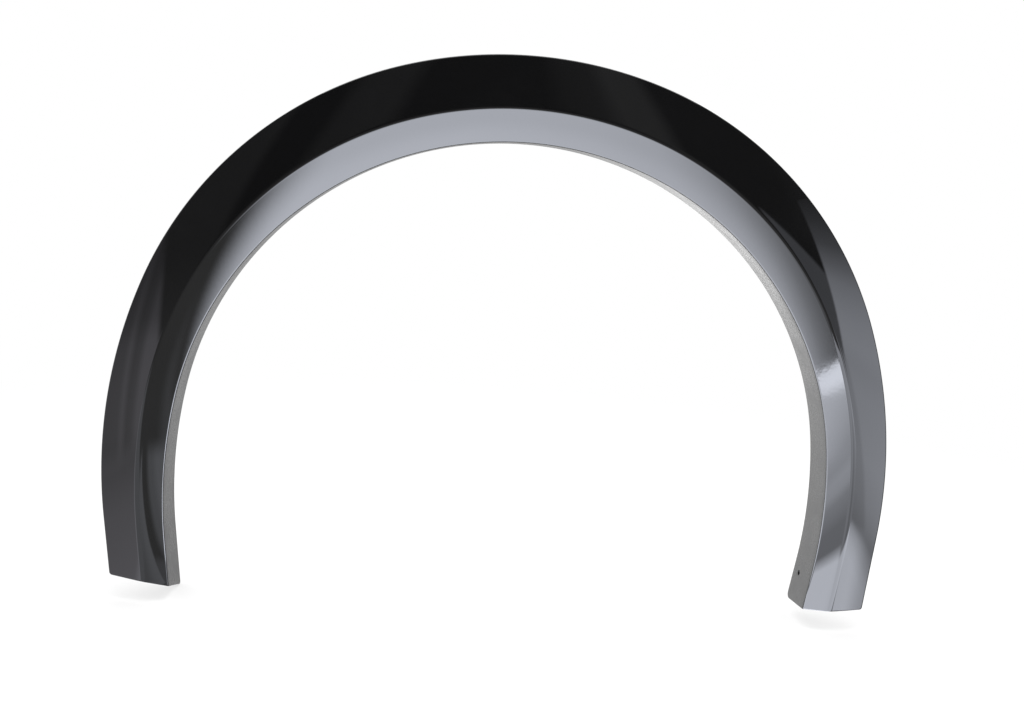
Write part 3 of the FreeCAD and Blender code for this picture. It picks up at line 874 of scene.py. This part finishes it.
    def band(self, beyond, onwards):
        """The band, by the way beyond its edge and onwards along it. The glow of the edge widens onwards."""
        width = (0.6 + 6.0 * onwards).most(0.3)
        return beyond.profile(BAND_LEVELS) + EDGE_LEVEL * (beyond / width).ease(0.017, 0.006)

    def bridge(self, x, y):
        """What the ridge mirrors to the right of the band, brightest at the leg's foot."""
        foot = (y - 0.05 * x).ease(-0.36, -0.31)
        dip = (x + 0.25 * y).ease(0.3, 0.45) * y.ease(-1.4, -1.05)
        ridge = RIDGE_LEVEL + 1.8 * y.ease(-0.2, -1.3) - 1.1 * dip
        within = (x + 0.99 * y + 0.025 * y.ease(-0.25, -0.05)).ease(0.412, 0.398)
        past = (y + 1.16 * x).ease(-0.76, -0.68)
        return (ridge + (FOOT_LEVEL - ridge) * foot) * within * past

    def foot_glow(self, x, y, z):
        """The low card's level close in front of the legs' ends."""
        return TOE_LEVELS[RIGHT] * x.ease(0.24, 0.28) + TOE_LEVELS[LEFT] * x.ease(-0.24, -0.28)

    def left_bars(self, x, y):
        """Faint bars of light below the left leg, and a faint field beyond them."""
        leg = y - 0.614 * x
        inner = 0.949 * (x + 0.31) + 0.316 * (y + 0.2)
        near = 0.75 * inner.ease(0.012, 0.03) + 0.35 * inner.ease(0.035, 0.06)
        far = (0.5 + 0.5 * inner.ease(-0.025, -0.004)) * inner.ease(0.002, -0.002)
        high = 0.35 * inner.ease(0.05, 0.1) * leg.ease(-0.33, -0.42)
        close = 0.4 * leg.ease(0.05, 0.12)
        bars = (leg.ease(-0.42, -0.33) * (near + far) + high).most(close)
        outer = (x + 0.373 * y).ease(-0.397, -0.417)
        bridge = 0.8 * (y - 1.4 * x).ease(0.57, 0.55) * (y - 1.49 * x).ease(-0.12, 0.0)
        return x.ease(-0.05, -0.09) * (bars + outer * (bridge - bars))

    def right_glow(self, x, y, z):
        """A tall wall of light beside the right leg, brightest low down, and a faint panel in front."""
        level = (z + 0.15 * (y + 0.77)).profile(RIGHT_LEVELS)
        near = 1.0 - 0.4 * y.ease(-0.85, -0.6) * z.ease(-0.4, -0.5)
        wedge = 1.0 - 0.2 * (y + 0.6 * z).ease(-0.97, -1.03) * z.window(-0.43, -0.4, 0.1, 0.2)
        side = (y + 0.17 * (z - 0.3)).ease(-1.152, -1.116).most(z.window(-0.18, -0.14, 0.04, 0.12))
        panel = PANEL_LEVEL * (z + 0.535 * y).ease(-0.11, -0.15)
        return panel * (1.0 - side) + level * near * wedge * side

    def left_glow(self, x, y, z):
        """A faint streaked wall of light beside the left leg, with a slanted upper edge."""
        streaks = 1.0 - (1.0 - y.profile(LEFT_STREAKS)) * z.ease(-0.42, -0.3)
        slanted = (0.826 * (y + 1.42) - 0.563 * (z - 0.03)).ease(-0.075, 0.015)
        return z.profile(LEFT_LEVELS) * streaks * slanted

    def back_glow(self, x, y, z):
        """A soft patch of light behind, for the lip at the right shoulder."""
        return BACK_LEVEL * x.window(0.08, 0.3, 0.42, 0.65) * z.window(-0.27, -0.03, 0.1, 0.33)

    def card(self, name, middle, axes, size, tint, glow, polish=True):
        """A lamp in the shape of a card, facing along up x across. Its brightness goes by place."""
        across, up = axes
        width, height = size
        lamp = bpy.data.lights.new(name, "AREA")
        lamp.shape = "RECTANGLE"
        lamp.size, lamp.size_y = width, height
        lamp.energy = math.pi * width * height
        lamp.use_nodes = True
        lamp.node_tree.nodes.clear()
        tree = Signal(lamp.node_tree)
        spot = tree.node("ShaderNodeNewGeometry", {}, {}, output="Position").split()
        light = tree.node("ShaderNodeEmission", {}, {"Color": opaque(tint), "Strength": glow(*spot)})
        tree.node("ShaderNodeOutputLight", {}, {"Surface": light})
        holder = bpy.data.objects.new(name, lamp)
        bpy.context.scene.collection.objects.link(holder)
        turn = Matrix((across, up, across.cross(up))).transposed()
        holder.matrix_world = Matrix.Translation(Vector(middle)) @ turn.to_4x4()
        holder.visible_camera = False
        holder.visible_diffuse = not polish

    def camera(self, scene, stage):
        """The photograph's view."""
        lens = bpy.data.cameras.new("camera")
        lens.sensor_width = FILM_WIDTH
        lens.lens = stage.camera_lens
        holder = bpy.data.objects.new("camera", lens)
        scene.collection.objects.link(holder)
        turn = (
            Matrix.Rotation(-stage.camera_yaw, 4, "Z")
            @ Matrix.Rotation(math.pi / 2 - stage.camera_pitch, 4, "X")
            @ Matrix.Rotation(stage.camera_roll, 4, "Z")
        )
        holder.matrix_world = Matrix.Translation(Vector(stage.camera_place)) @ turn
        scene.camera = holder


class TRIM_PT_panel(bpy.types.Panel):
    """Sizes, finishes and steps of the trim"""

    bl_idname = "TRIM_PT_panel"
    bl_label = "Fender Trim"
    bl_space_type = "VIEW_3D"
    bl_region_type = "UI"
    bl_category = "Fender Trim"

    def draw(self, context):
        for operator in OPERATORS:
            self.layout.operator(operator.bl_idname)
        for group in (context.scene.trim_sizes, context.scene.trim_finish, context.scene.trim_stage):
            box = self.layout.box()
            for name in group.__annotations__:
                box.prop(group, name)


OPERATORS = (TRIM_OT_moulding, TRIM_OT_stage)
CLASSES = (TrimSizes, TrimFinish, StageSettings, *OPERATORS, TRIM_PT_panel)


def register():
    for cls in CLASSES:
        bpy.utils.register_class(cls)
    bpy.types.Scene.trim_sizes = PointerProperty(type=TrimSizes)
    bpy.types.Scene.trim_finish = PointerProperty(type=TrimFinish)
    bpy.types.Scene.trim_stage = PointerProperty(type=StageSettings)


def unregister():
    del bpy.types.Scene.trim_stage
    del bpy.types.Scene.trim_finish
    del bpy.types.Scene.trim_sizes
    for cls in reversed(CLASSES):
        bpy.utils.unregister_class(cls)


def main():
    register()
    bpy.ops.trim.moulding()
    bpy.ops.trim.stage()


if __name__ == "__main__":
    main()
